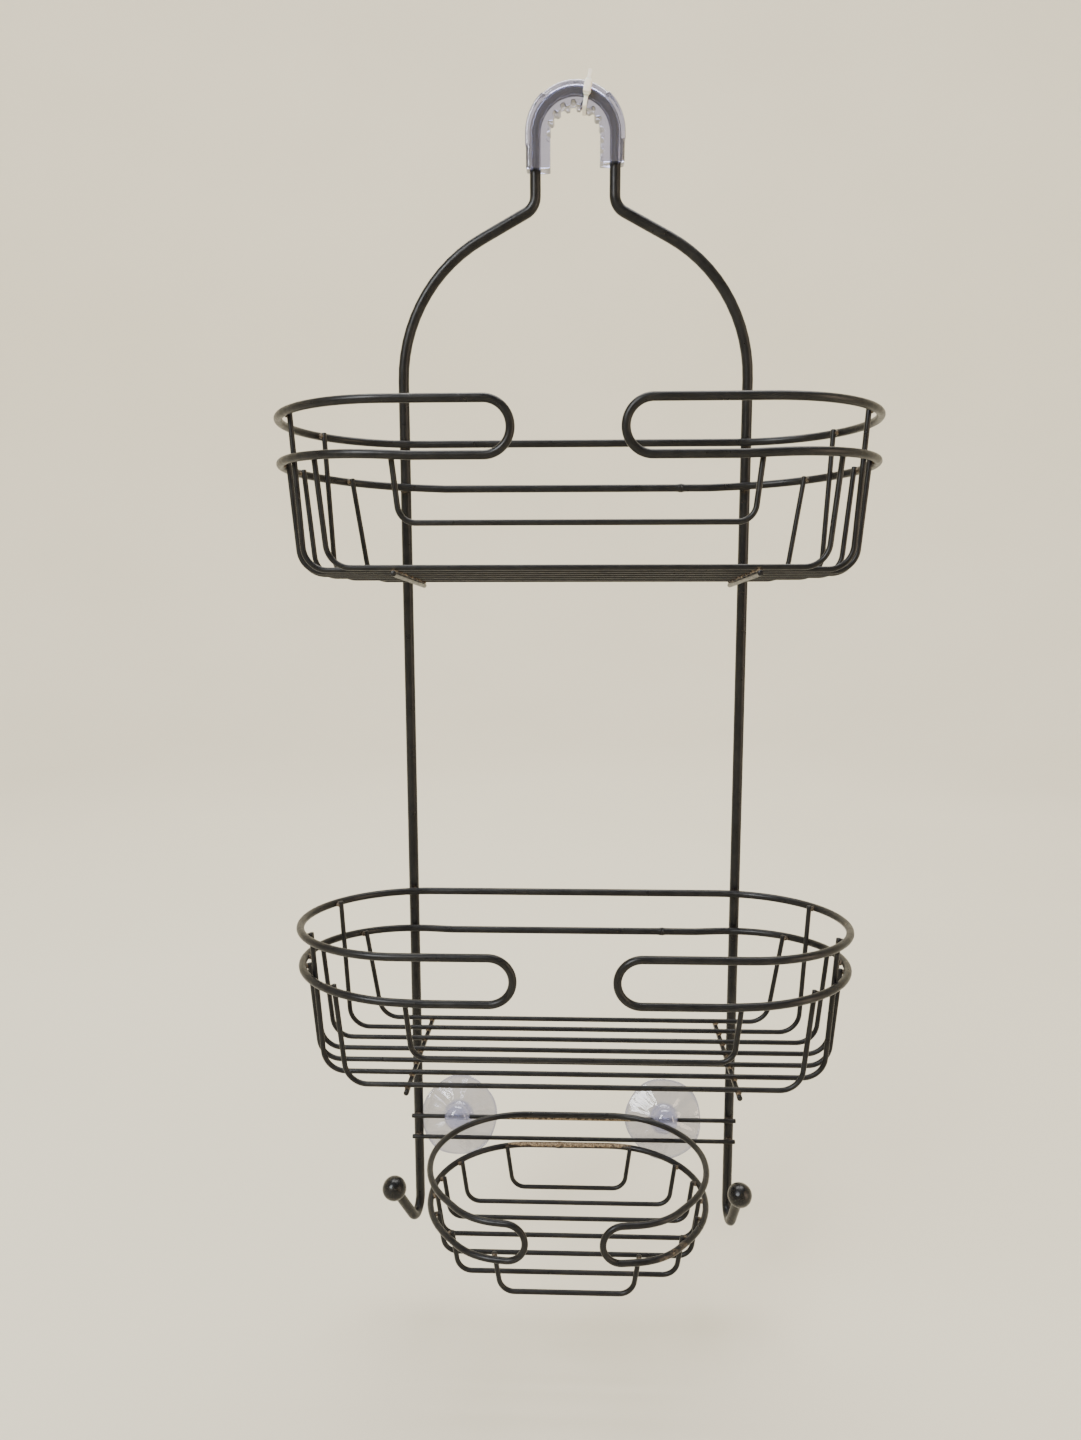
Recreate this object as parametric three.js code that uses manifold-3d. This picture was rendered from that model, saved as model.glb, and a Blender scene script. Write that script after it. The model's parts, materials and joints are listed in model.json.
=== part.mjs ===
// Hanging shower caddy in coated steel wire: a bent frame with a clear grip sleeve, two wire
// baskets, a soap dish on two cross wires, and two suction cups that swivel on the upper one.
//
// Millimetres, +Z up, +X to the user's right, +Y back towards the wall.
// The origin is the saddle: the inside of the hanger's crown, where the shower arm sits.

import * as THREE from 'three';
import { mergeVertices } from 'three/addons/utils/BufferGeometryUtils.js';
import Module from 'manifold-3d';

const wasm = await Module();
wasm.setup();

// ---------------------------------------------------------------- driving dimensions

const FRAME_WIRE = 5.0;      // wire diameters
const RIM_WIRE = 3.5;
const DISH_WIRE = 3.0;
const THIN_WIRE = 2.3;
const GAP = 0.3;             // clearance left between pieces that touch or are welded
const SAG = 0.25;            // how far a facet may cut inside a bend
const FACETS = { frame: 10, rim: 8, thin: 6 };  // sides of each wire's section

const SLEEVE_IN = 6.7;       // clear sleeve around the frame wire: inwards, to its tooth tips
const CROWN = SLEEVE_IN;     // so the frame wire's crown stands this much above the saddle
const CROWN_BEND = 18;       // centre-line radius of the hanger's U
const NECK_END = -36.3;      // where the straight necks start to bend outwards
const NECK_BEND = 8;
const SHOULDER_SLOPE = THREE.MathUtils.degToRad(28);
const SHOULDER_BEND = 71;
const LEG_HALF = 80;         // half the distance between the legs at the shoulders
const FOOT_HALF = 83;        // and at the feet
const FOOT = -547;           // lowest point of the hooks' centre line
const HOOK_BEND = 6.5;
const HOOK_RUN = 11;         // corner to corner under the foot, and from the leg out to the tip
const HOOK_REACH = 24;
const HOOK_TURN = { left: -9.5, right: 2.8 };   // how far each hook's tip is turned, along X
const HOOK_TWIST = 0.15;     // share of that turn at the foot's front corner
const BALL = 12.4;           // ball tip diameter
const BALL_HEIGHT = -521.3;
const BALL_FACETS = { around: 16, down: 10, socket: 12 };

const BASKET_TILT = THREE.MathUtils.degToRad(5);   // the front edge stands higher
const BASKETS = {            // height of each top rim's back, its place along X, its butt weld,
  upper: { height: -145.8, shift: 1, weld: 49, floorFall: 2 },   // and how far its floor falls
  lower: { height: -366.3, shift: 0, weld: 45, floorFall: 0 },   // towards the back
};
const RIM_STRAIGHT = 72;     // half length of the rims' straight backs
const RIM_DEPTH = 104;       // top rim, front to back
const RIM_DROP = 20.5;       // top rim down to the lower rim
const RIM_FRONT_STEP = 2;    // the lower rim's front stands this far behind the top rim's
const RIM_LIFT = 2.6;        // the lower rim's ends stand this much higher than its back
const RISE_RUN = 10;         // and rise to that from this far before each end, in an easy bend
const RISE_BEND = 40;
const HAIRPIN = { left: 24.5, right: 18.5 };    // front loops, from the middle to each turn
const FLOOR = -61.6;         // floor wires below the top rim
const FLOOR_FIRST = 17.4;    // from the frame to the first floor wire, then the pitch
const FLOOR_PITCH = 12.6;
const FLOOR_BEND = 10;
const FLOOR_WIRES = [        // which rim holds each wire, and how far its risers lean in
  { rim: 'lower', lean: 7.5 }, { rim: 'top', lean: 4 }, { rim: 'lower', lean: 5 },
  { rim: 'lower', lean: 4 }, { rim: 'lower', lean: 4.5 }, { rim: 'top', lean: 5 },
  { rim: 'lower', lean: 5 },
];
const RISER_RISE = 1.0;      // cut ends stand this much above the rim's centre line
const GUARD_HALF = 70;       // front guard: half width at the rim and at the bottom, and height
const GUARD_FOOT = 67;
const GUARD_HEIGHT = -45.2;
const GUARD_BEND = 7;
const BAR_HALF = 71;         // cross bars under the floor
const BAR_REACH = 3;         // how far they pass the first and last floor wire

const CROSS_UPPER = -492.0;  // the two cross wires between the legs
const CROSS_LOWER = -504.1;
const CROSS_HALF = 85.5;

const DISH_TILT = THREE.MathUtils.degToRad(3);
const DISH_TOP = -489.3;     // height of the dish's top rim at its back
const DISH_BACK = 5.2;       // centre line of its back in front of the frame plane
const DISH_SHIFT = -2.3;     // its middle along X
const DISH_HALF = 66.5;
const DISH_DEPTH = 96;
const DISH_BACK_BEND = 46;   // its outline is egg-shaped: wide at the back, with two corners on
const DISH_SIDE = { y: -69.7, bend: 50 };       // each side that draw in to the front loops
const DISH_SHOULDER = { half: 43, y: -98, bend: 30 };
const DISH_DROP = 17.6;      // top rim down to the lower rim
const DISH_HAIRPIN = { left: 18.3, right: 16 };
const DISH_WELD = -5;        // where its rim wire's ends meet
const DISH_WIRE_COUNT = 7;
const DISH_WIRE_ENDS = 32.2;  // half width of the first and last dish wire
const DISH_WIRE_SET_IN = 2.1;   // the first and last clear the rim's corners by this
const DISH_WIRE_LEAN = 3;
const DISH_WIRE_BEND = 7;
const DISH_FLOOR_BACK = 21;  // dish wires below the lower rim, at the back and at the front
const DISH_FLOOR_FRONT = 17.5;

const SLEEVE_OUT = 4.3;      // clear sleeve beyond the frame wire's centre line: outwards
const SLEEVE_HALF_DEPTH = 5;
const SLEEVE_END = { left: -25.9, right: -23.7 };
const TUNNEL_SLACK = 0.4;    // extra bore, so that the facets of both stay clear of each other
const TUNNEL = FRAME_WIRE + 2 * GAP + TUNNEL_SLACK;
const SLEEVE_SEGMENTS = 24;  // facets round the outside of the crown
const TOOTH_HEIGHT = 1.6;    // waves on the inside of the crown, a little turned to the left
const TOOTH_PITCH = THREE.MathUtils.degToRad(22.5);
const TOOTH_OFFSET = THREE.MathUtils.degToRad(-4);
const TOOTH_COUNT = 8;

const TIE_OFFSET = 2.1;      // cable tie, to the right of the crown and leaning
const TIE_ANGLE = THREE.MathUtils.degToRad(10.7);
const TIE_WIDTH = 2.2;
const TIE_THICKNESS = 0.9;
const TIE_HEAD = { width: 4, depth: 3.2, height: 5.1, centre: 17.9 };
const TIE_TAIL = 3.5;        // cut end above the head

const CUP_PLACES = { left: -61.4, right: 48.6 };   // suction cups along the upper cross wire
const CUP_DROOP = THREE.MathUtils.degToRad(27);  // they hang against the lower cross wire
const CUP_RADIUS = 20.2;
const CUP_FACETS = 20;
const CUP_HOLE = { length: 20, facets: 10 };     // side hole for the wire

// ---------------------------------------------------------------- materials

const coatedWire = new THREE.MeshStandardMaterial({ color: 0x17171a, roughness: 0.38, metalness: 0.3 });
const clearVinyl = new THREE.MeshStandardMaterial({ color: 0xc9c8d8, roughness: 0.2, metalness: 0 });
const dippedBall = new THREE.MeshStandardMaterial({ color: 0x101012, roughness: 0.3, metalness: 0 });
const whiteNylon = new THREE.MeshStandardMaterial({ color: 0xe9e6dc, roughness: 0.5, metalness: 0 });

// ---------------------------------------------------------------- bent wire

const at = (x, y, z, bend = 0) => ({ point: new THREE.Vector3(x, y, z), bend });

/** The centre line of a wire given as a bending table: corners, each with its bend radius. */
function bendWire(corners) {
  const points = [corners[0].point.clone()];
  for (let i = 1; i < corners.length - 1; i++) {
    const { point: corner, bend } = corners[i];
    const before = corner.clone().sub(corners[i - 1].point).normalize();
    const after = corners[i + 1].point.clone().sub(corner).normalize();
    const turn = before.angleTo(after);
    const start = corner.clone().addScaledVector(before, -bend * Math.tan(turn / 2));
    const centre = after.clone().sub(before).normalize()
      .multiplyScalar(bend / Math.cos(turn / 2)).add(corner);
    const axis = before.clone().cross(after).normalize();
    const facets = Math.max(1, Math.ceil(turn / (2 * Math.acos(1 - SAG / bend))));
    for (let k = 0; k <= facets; k++) {
      const arm = start.clone().sub(centre).applyAxisAngle(axis, turn * k / facets);
      points.push(arm.add(centre));
    }
  }
  points.push(corners.at(-1).point.clone());
  return points.filter((p, i) => i === 0 || p.distanceTo(points[i - 1]) > 0.01);
}

/** A curve that steps through given points, so straight runs need only one facet. */
class StepCurve extends THREE.Curve {
  constructor(points) {
    super();
    this.points = points;
  }

  getPointAt(u, target = new THREE.Vector3()) {
    return target.copy(this.points[Math.round(u * (this.points.length - 1))]);
  }

  getTangentAt(u, target = new THREE.Vector3()) {
    const last = this.points.length - 1;
    const i = Math.round(u * last);
    const step = (a, b) => this.points[b].clone().sub(this.points[a]).normalize();
    const before = i > 0 ? step(i - 1, i) : step(0, 1);
    const after = i < last ? step(i, i + 1) : before;
    return target.copy(before).add(after).normalize();
  }
}

function roundSection(diameter, sides) {
  const section = new THREE.Shape();
  for (let k = 0; k < sides; k++) {
    const angle = 2 * Math.PI * (k + 0.5) / sides;
    const x = diameter / 2 * Math.cos(angle);
    const y = diameter / 2 * Math.sin(angle);
    if (k === 0) section.moveTo(x, y);
    else section.lineTo(x, y);
  }
  return section;
}

function wireGeometry(points, diameter, sides) {
  return new THREE.ExtrudeGeometry(roundSection(diameter, sides), {
    steps: points.length - 1, bevelEnabled: false, extrudePath: new StepCurve(points),
  });
}

function named(name, geometry, material) {
  const mesh = new THREE.Mesh(geometry, material);
  mesh.name = name;
  return mesh;
}

const wire = (name, corners, diameter, sides) =>
  named(name, wireGeometry(bendWire(corners), diameter, sides), coatedWire);

// ---------------------------------------------------------------- booleans

function toManifold(geometry) {
  const bare = geometry.clone();
  bare.deleteAttribute('normal');
  bare.deleteAttribute('uv');
  const merged = mergeVertices(bare, 1e-4);
  return new wasm.Manifold(new wasm.Mesh({
    numProp: 3,
    vertProperties: new Float32Array(merged.attributes.position.array),
    triVerts: new Uint32Array(merged.index.array),
  }));
}

function toGeometry(solid) {
  const mesh = solid.getMesh();
  const geometry = new THREE.BufferGeometry();
  geometry.setAttribute('position', new THREE.BufferAttribute(new Float32Array(mesh.vertProperties), 3));
  geometry.setIndex(new THREE.BufferAttribute(new Uint32Array(mesh.triVerts), 1));
  geometry.computeVertexNormals();
  return geometry;
}

const cut = (body, tool) => toGeometry(toManifold(body).subtract(toManifold(tool)));

// ---------------------------------------------------------------- frame

/** Bending table of one side of the frame, from the crown's corner down to the hook's tip. */
function frameSide(side, sign) {
  const slope = Math.tan(SHOULDER_SLOPE);
  const neckCorner = NECK_END - NECK_BEND * Math.tan((Math.PI / 2 - SHOULDER_SLOPE) / 2);
  const shoulder = neckCorner - (LEG_HALF - CROWN_BEND) * slope;
  const foot = sign * FOOT_HALF;
  return [
    at(sign * CROWN_BEND, 0, CROWN, CROWN_BEND),
    at(sign * CROWN_BEND, 0, neckCorner, NECK_BEND),
    at(sign * LEG_HALF, 0, shoulder, SHOULDER_BEND),
    at(foot, 0, FOOT, HOOK_BEND),
    at(foot + HOOK_TURN[side] * HOOK_TWIST, -HOOK_RUN, FOOT, HOOK_BEND),
    at(foot + HOOK_TURN[side], -HOOK_REACH, BALL_HEIGHT),
  ];
}

function makeFrame() {
  const corners = [...frameSide('left', -1).reverse(), ...frameSide('right', 1)];
  return wire('hanger_frame', corners, FRAME_WIRE, FACETS.frame);
}

/** A dipped ball with the blind socket that the hook's tip sits in. */
function makeBall(side, sign) {
  const [corner, tip] = frameSide(side, sign).slice(-2).map(({ point }) => point);
  const bore = FRAME_WIRE / 2 + GAP;
  const socket = new THREE.CylinderGeometry(bore, bore, BALL, BALL_FACETS.socket);
  socket.rotateX(Math.PI / 2).translate(0, 0, GAP - BALL / 2);
  const ball = new THREE.SphereGeometry(BALL / 2, BALL_FACETS.around, BALL_FACETS.down);
  ball.rotateX(Math.PI / 2);
  const mesh = named(`ball_tip_${side}`, cut(ball, socket), dippedBall);
  mesh.position.copy(tip);
  mesh.quaternion.setFromUnitVectors(new THREE.Vector3(0, 0, 1), tip.clone().sub(corner).normalize());
  return mesh;
}

// ---------------------------------------------------------------- grip sleeve and its tie

/** Front outline of the sleeve: an inverted U, smooth outside and toothed inside the crown. */
function sleeveOutline() {
  const centre = CROWN - CROWN_BEND;
  const outer = CROWN_BEND + SLEEVE_OUT;
  const inner = CROWN_BEND - SLEEVE_IN;
  const outline = new THREE.Shape();
  const polar = (radius, angle) => [radius * Math.sin(angle), centre + radius * Math.cos(angle)];
  outline.moveTo(-outer, SLEEVE_END.left);
  outline.absarc(0, centre, outer, Math.PI, 0, true);
  outline.lineTo(outer, SLEEVE_END.right);
  outline.lineTo(inner, SLEEVE_END.right);
  outline.lineTo(inner, centre);
  for (let k = TOOTH_COUNT - 1; k > -TOOTH_COUNT; k--) {
    const valley = Math.abs(k) % 2 === 0;
    outline.lineTo(...polar(inner + (valley ? TOOTH_HEIGHT : 0), TOOTH_OFFSET + k * TOOTH_PITCH / 2));
  }
  outline.lineTo(-inner, centre);
  outline.lineTo(-inner, SLEEVE_END.left);
  outline.closePath();
  return outline;
}

function makeSleeve() {
  const body = new THREE.ExtrudeGeometry(sleeveOutline(), {
    depth: 2 * SLEEVE_HALF_DEPTH, bevelEnabled: false, curveSegments: SLEEVE_SEGMENTS,
  });
  body.rotateX(Math.PI / 2).translate(0, SLEEVE_HALF_DEPTH, 0);
  const tunnelEnd = SLEEVE_END.left - FRAME_WIRE;
  const tunnel = wireGeometry(bendWire([
    at(-CROWN_BEND, 0, tunnelEnd), at(-CROWN_BEND, 0, CROWN, CROWN_BEND),
    at(CROWN_BEND, 0, CROWN, CROWN_BEND), at(CROWN_BEND, 0, tunnelEnd),
  ]), TUNNEL, FACETS.frame);
  return named('grip_sleeve', cut(body, tunnel), clearVinyl);
}

/** The cable tie's loop around the sleeve, with its square head in front and its cut tail. */
function makeCableTie() {
  const low = CROWN_BEND - SLEEVE_IN - 4 * GAP;
  const high = CROWN_BEND + SLEEVE_OUT;
  const half = SLEEVE_HALF_DEPTH + GAP;
  const middle = (low + high) / 2;
  const height = high - low;
  const box = (width, depth, tall, y, z) =>
    toManifold(new THREE.BoxGeometry(width, depth, tall).translate(0, y, z));
  const headY = -half - TIE_HEAD.depth / 2;
  const tailZ = TIE_HEAD.centre + (TIE_HEAD.height + TIE_TAIL) / 2;
  const tie = box(TIE_WIDTH, 2 * (half + TIE_THICKNESS), height + 2 * TIE_THICKNESS, 0, middle)
    .subtract(box(2 * TIE_WIDTH, 2 * half, height, 0, middle))
    .add(box(TIE_HEAD.width, TIE_HEAD.depth, TIE_HEAD.height, headY, TIE_HEAD.centre))
    .add(box(TIE_WIDTH, TIE_THICKNESS, TIE_TAIL + GAP, headY, tailZ - GAP / 2));
  const mesh = named('cable_tie', toGeometry(tie), whiteNylon);
  mesh.rotation.y = TIE_ANGLE;
  mesh.position.set(TIE_OFFSET, 0, CROWN - CROWN_BEND);
  return mesh;
}

// ---------------------------------------------------------------- baskets

/** Half width of a rim at depth y, on a line set in from its centre line. */
function rimHalf(rim, y, inset) {
  const intoBack = y - (rim.back - rim.bend);
  const intoFront = rim.sideEnd - y;
  const bend = intoBack > 0 ? rim.bend : rim.frontCorners[0].bend;
  const past = Math.max(0, intoBack, intoFront);
  return rim.half - bend + Math.sqrt((bend - inset) ** 2 - past ** 2);
}

const basketBack = -(FRAME_WIRE + RIM_WIRE) / 2 - GAP;
const basketFront = basketBack - RIM_DEPTH;
const basketRims = {
  top: { back: basketBack, front: basketFront, z: 0 },
  lower: {
    back: basketBack + RIM_DROP * Math.tan(BASKET_TILT),
    front: basketFront + RIM_FRONT_STEP,
    z: -RIM_DROP,
  },
};
for (const rim of Object.values(basketRims)) {
  rim.bend = (rim.back - rim.front) / 2;
  rim.half = RIM_STRAIGHT + rim.bend;
  rim.sideEnd = rim.front + rim.bend;
  rim.frontCorners = [{ half: rim.half, y: rim.front, bend: rim.bend }];
}

/** One wire that makes a top rim, a lower rim and the two front hairpins between them. */
function rimCorners(rims, hairpin, lift, weld) {
  const { top, lower } = rims;
  const turn = (top.z - lower.z) / 2;
  const riseFrom = lower.half - lower.bend - RISE_RUN;
  const rise = (sign, y) => (lift > 0 ? [at(sign * riseFrom, y, lower.z, RISE_BEND)] : []);
  const corners = (rim, sign, up) => rim.frontCorners.map(({ half, y, bend }) => (
    at(sign * half, y, rim.z + up, bend)));
  const side = (sign, turnAt) => [
    ...rise(sign, lower.back),
    at(sign * lower.half, lower.back, lower.z + lift, lower.bend),
    ...corners(lower, sign, lift),
    ...rise(sign, lower.front),
    at(sign * turnAt, lower.front, lower.z, turn),
    at(sign * turnAt, top.front, top.z, turn),
    ...corners(top, sign, 0).reverse(),
    at(sign * top.half, top.back, top.z, top.bend),
  ];
  return [
    at(weld + GAP, lower.back, lower.z),
    ...side(1, hairpin.right),
    ...side(-1, hairpin.left).reverse(),
    at(weld - GAP, lower.back, lower.z),
  ];
}

/** A U-shaped wire across a basket or dish: up to a rim at both ends. */
function crossU(name, y, topHalf, topZ, floorHalf, floorZ, bend) {
  return wire(name, [
    at(-topHalf, y, topZ), at(-floorHalf, y, floorZ, bend),
    at(floorHalf, y, floorZ, bend), at(topHalf, y, topZ),
  ], THIN_WIRE, FACETS.thin);
}

const floorY = (index) => -FLOOR_FIRST - index * FLOOR_PITCH;

function makeBasket(place) {
  const { height, shift, weld, floorFall } = BASKETS[place];
  const prefix = `${place}_basket`;
  const basket = new THREE.Group();
  basket.position.set(shift, 0, height);
  basket.rotation.x = -BASKET_TILT;
  basket.add(wire(`${prefix}_rim`, rimCorners(basketRims, HAIRPIN, RIM_LIFT, weld), RIM_WIRE, FACETS.rim));

  const inset = (RIM_WIRE + THIN_WIRE) / 2 + GAP;
  const lastY = floorY(FLOOR_WIRES.length - 1);
  const floorAt = (y) => FLOOR - floorFall * (y - lastY) / (floorY(0) - lastY);
  FLOOR_WIRES.forEach(({ rim: which, lean }, index) => {
    const rim = basketRims[which];
    const y = floorY(index);
    const half = rimHalf(rim, y, inset);
    basket.add(crossU(`${prefix}_floor_wire_${index + 1}`, y, half, rim.z + RISER_RISE,
      half - lean, floorAt(y), FLOOR_BEND));
  });

  const guardY = basketRims.lower.front + inset;
  basket.add(crossU(`${prefix}_front_guard`, guardY, GUARD_HALF, -RIM_DROP,
    GUARD_FOOT, GUARD_HEIGHT, GUARD_BEND));

  const barEnd = (sign, y) => at(sign * BAR_HALF, y, floorAt(y) - THIN_WIRE - GAP);
  for (const [side, sign] of [['left', -1], ['right', 1]]) {
    basket.add(wire(`${prefix}_cross_bar_${side}`, [
      barEnd(sign, floorY(0) + BAR_REACH),
      barEnd(sign, lastY - BAR_REACH),
    ], THIN_WIRE, FACETS.thin));
  }
  return basket;
}

// ---------------------------------------------------------------- soap dish and cross wires

const crossY = -(FRAME_WIRE + THIN_WIRE) / 2 - GAP;

function makeCrossWire(name, z) {
  return wire(name, [at(-CROSS_HALF, crossY, z), at(CROSS_HALF, crossY, z)], THIN_WIRE, FACETS.rim);
}

function makeDish() {
  const dish = new THREE.Group();
  dish.position.set(DISH_SHIFT, 0, DISH_TOP - DISH_BACK * Math.sin(DISH_TILT));
  dish.rotation.x = -DISH_TILT;
  const front = -DISH_BACK - DISH_DEPTH;
  const turn = Math.atan2(DISH_HALF - DISH_SHOULDER.half, DISH_SIDE.y - DISH_SHOULDER.y);
  const outline = {
    front, half: DISH_HALF, bend: DISH_BACK_BEND,
    sideEnd: DISH_SIDE.y + DISH_SIDE.bend * Math.tan(turn / 2),
    frontCorners: [{ half: DISH_HALF, ...DISH_SIDE }, DISH_SHOULDER],
  };
  const rims = {
    top: { ...outline, back: -DISH_BACK, z: 0 },
    lower: { ...outline, back: DISH_DROP * Math.tan(DISH_TILT) - DISH_BACK, z: -DISH_DROP },
  };
  dish.add(wire('soap_dish_rim', rimCorners(rims, DISH_HAIRPIN, 0, DISH_WELD), DISH_WIRE, FACETS.rim));

  const inset = (DISH_WIRE + THIN_WIRE) / 2 + GAP;
  const first = rims.lower.back - inset - DISH_WIRE_SET_IN;
  const last = rims.lower.front + inset + DISH_WIRE_SET_IN;
  for (let index = 0; index < DISH_WIRE_COUNT; index++) {
    const share = index / (DISH_WIRE_COUNT - 1);
    const y = THREE.MathUtils.lerp(first, last, share);
    const ends = index === 0 || index === DISH_WIRE_COUNT - 1;
    const half = ends ? DISH_WIRE_ENDS : rimHalf(rims.lower, y, inset);
    const drop = THREE.MathUtils.lerp(DISH_FLOOR_BACK, DISH_FLOOR_FRONT, share);
    dish.add(crossU(`soap_dish_wire_${index + 1}`, y, half, -DISH_DROP + RISER_RISE,
      half - DISH_WIRE_LEAN, -DISH_DROP - drop, DISH_WIRE_BEND));
  }
  return dish;
}

// ---------------------------------------------------------------- suction cups

/** A moulded cup: a round head with a side hole for the wire, and the bell behind it. */
function makeSuctionCup(side) {
  const profile = [   // radius, distance behind the cross wire
    [0, -5.8], [3.0, -5.4], [5.2, -4.2], [6.4, -2.4], [6.8, 0], [6.6, 2.4], [6.2, 4.2],
    [7.4, 5.6], [9.6, 6.7], [13, 8.0], [CUP_RADIUS, 9.9], [CUP_RADIUS, 10.9],
    [17.8, 10.9], [12, 9.4], [6, 8.2], [0, 7.8],
  ].map(([radius, depth]) => new THREE.Vector2(radius, depth));
  const body = new THREE.LatheGeometry(profile, CUP_FACETS);
  const bore = THIN_WIRE / 2 + GAP;
  const hole = new THREE.CylinderGeometry(bore, bore, CUP_HOLE.length, CUP_HOLE.facets);
  hole.rotateZ(Math.PI / 2);
  const mesh = named(`suction_cup_${side}`, cut(body, hole), clearVinyl);
  mesh.position.set(CUP_PLACES[side], crossY, CROSS_UPPER);
  mesh.rotation.x = -CUP_DROOP;
  return mesh;
}

// ---------------------------------------------------------------- assembly

const caddy = new THREE.Group();
caddy.add(
  makeFrame(),
  makeBall('left', -1),
  makeBall('right', 1),
  makeSleeve(),
  makeCableTie(),
  makeBasket('upper'),
  makeBasket('lower'),
  makeCrossWire('cross_wire_upper', CROSS_UPPER),
  makeCrossWire('cross_wire_lower', CROSS_LOWER),
  makeDish(),
  makeSuctionCup('left'),
  makeSuctionCup('right'),
);

export default caddy;
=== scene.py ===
"""Looks of a hanging shower caddy in coated wire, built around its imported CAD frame.

Tables are in millimetres, in the frame's own axes, and meshes are made in metres.
"""

import json
import math

import bpy
import bmesh
import numpy as np
from mathutils import Matrix, Vector, noise


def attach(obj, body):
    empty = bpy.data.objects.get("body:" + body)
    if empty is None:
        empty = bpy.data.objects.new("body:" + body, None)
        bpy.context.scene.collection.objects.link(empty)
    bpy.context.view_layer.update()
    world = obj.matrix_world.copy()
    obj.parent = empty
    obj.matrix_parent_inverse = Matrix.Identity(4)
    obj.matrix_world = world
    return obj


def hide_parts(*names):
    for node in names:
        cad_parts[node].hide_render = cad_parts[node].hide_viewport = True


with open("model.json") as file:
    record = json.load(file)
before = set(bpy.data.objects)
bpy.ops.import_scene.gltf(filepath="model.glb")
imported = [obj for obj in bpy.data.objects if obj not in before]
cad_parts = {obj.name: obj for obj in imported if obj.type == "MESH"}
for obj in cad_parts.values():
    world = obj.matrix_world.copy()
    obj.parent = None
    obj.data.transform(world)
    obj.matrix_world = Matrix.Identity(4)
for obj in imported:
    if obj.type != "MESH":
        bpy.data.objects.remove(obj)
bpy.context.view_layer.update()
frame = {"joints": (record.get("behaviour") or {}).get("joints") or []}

MM = 0.001

# ---------------------------------------------------------------- driving dimensions

FRAME_WIRE = 5.0
RIM_WIRE = 3.5
DISH_WIRE = 3.0
THIN_WIRE = 2.3
GAP = 0.3               # clearance left between wires that touch or are welded
CUT_GAP = 0.15          # half the gap where a rim wire's two ends are butt-welded

CROWN = 6.7             # frame wire: crown above the saddle, and the bend of its U
CROWN_BEND = 18.0
NECK_END = -36.3
NECK_BEND = 8.0
SHOULDER_SLOPE = math.radians(28)
SHOULDER_BEND = 71.0
LEG_HALF = 80.0
FOOT_HALF = 83.0
FOOT = -547.0
HOOK_BEND = 6.5
HOOK_RUN = 11.0
HOOK_REACH = 24.0
HOOK_TURN = {"left": -9.5, "right": 2.8}
HOOK_TWIST = 0.15
BALL = 12.4
BALL_HEIGHT = -521.3

BASKET_TILT = math.radians(5)
BASKETS = {             # height, shift, butt weld, and the floor's fall towards the back
    "upper": (-145.8, 1.0, 49.0, 2.0),
    "lower": (-366.3, 0.0, 45.0, 0.0),
}
RIM_STRAIGHT = 72.0
RIM_DEPTH = 104.0
RIM_DROP = 20.5
RIM_FRONT_STEP = 2.0    # the lower rim's front stands this far behind the top rim's
RIM_LIFT = 2.6
RISE_RUN = 10.0
RISE_BEND = 40.0
HAIRPIN = {"left": 24.5, "right": 18.5}
FLOOR = -61.6
FLOOR_FIRST = 17.4
FLOOR_PITCH = 12.6
FLOOR_BEND = 10.0
FLOOR_WIRES = [         # which rim holds each wire, and how far its risers lean in
    ("lower", 7.5), ("top", 4), ("lower", 5), ("lower", 4), ("lower", 4.5), ("top", 5), ("lower", 5),
]
RISER_RISE = 1.0
GUARD_HALF = 70.0
GUARD_FOOT = 67.0
GUARD_HEIGHT = -45.2
GUARD_BEND = 7.0
BAR_HALF = 71.0
BAR_REACH = 3.0

CROSS = {"upper": -492.0, "lower": -504.1}
CROSS_HALF = 85.5

DISH_TILT = math.radians(3)
DISH_TOP = -489.3
DISH_BACK = 5.2
DISH_SHIFT = -2.3
DISH_HALF = 66.5
DISH_DEPTH = 96.0
DISH_BACK_BEND = 46.0
DISH_SIDE = (66.5, -69.7, 50.0)         # front corners of its egg-shaped outline: x, y, bend
DISH_SHOULDER = (43.0, -98.0, 30.0)
DISH_DROP = 17.6
DISH_HAIRPIN = {"left": 18.3, "right": 16.0}
DISH_WELD = -5.0
DISH_WIRE_COUNT = 7
DISH_WIRE_ENDS = 32.2
DISH_WIRE_SET_IN = 2.1
DISH_WIRE_LEAN = 3.0
DISH_WIRE_BEND = 7.0
DISH_FLOOR_BACK = 21.0
DISH_FLOOR_FRONT = 17.5

SIDES = {"left": -1, "right": 1}

# ---------------------------------------------------------------- camera

CAMERA_PLACE = Vector((2.03, -507.06, -182.64)) * MM
CAMERA_YAW = math.radians(-2.10)
CAMERA_PITCH = math.radians(10.64)
CAMERA_ROLL = math.radians(-0.21)
CAMERA_LENS = 26.0      # and sensor width, both in millimetres
CAMERA_SENSOR = 36.0


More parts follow.
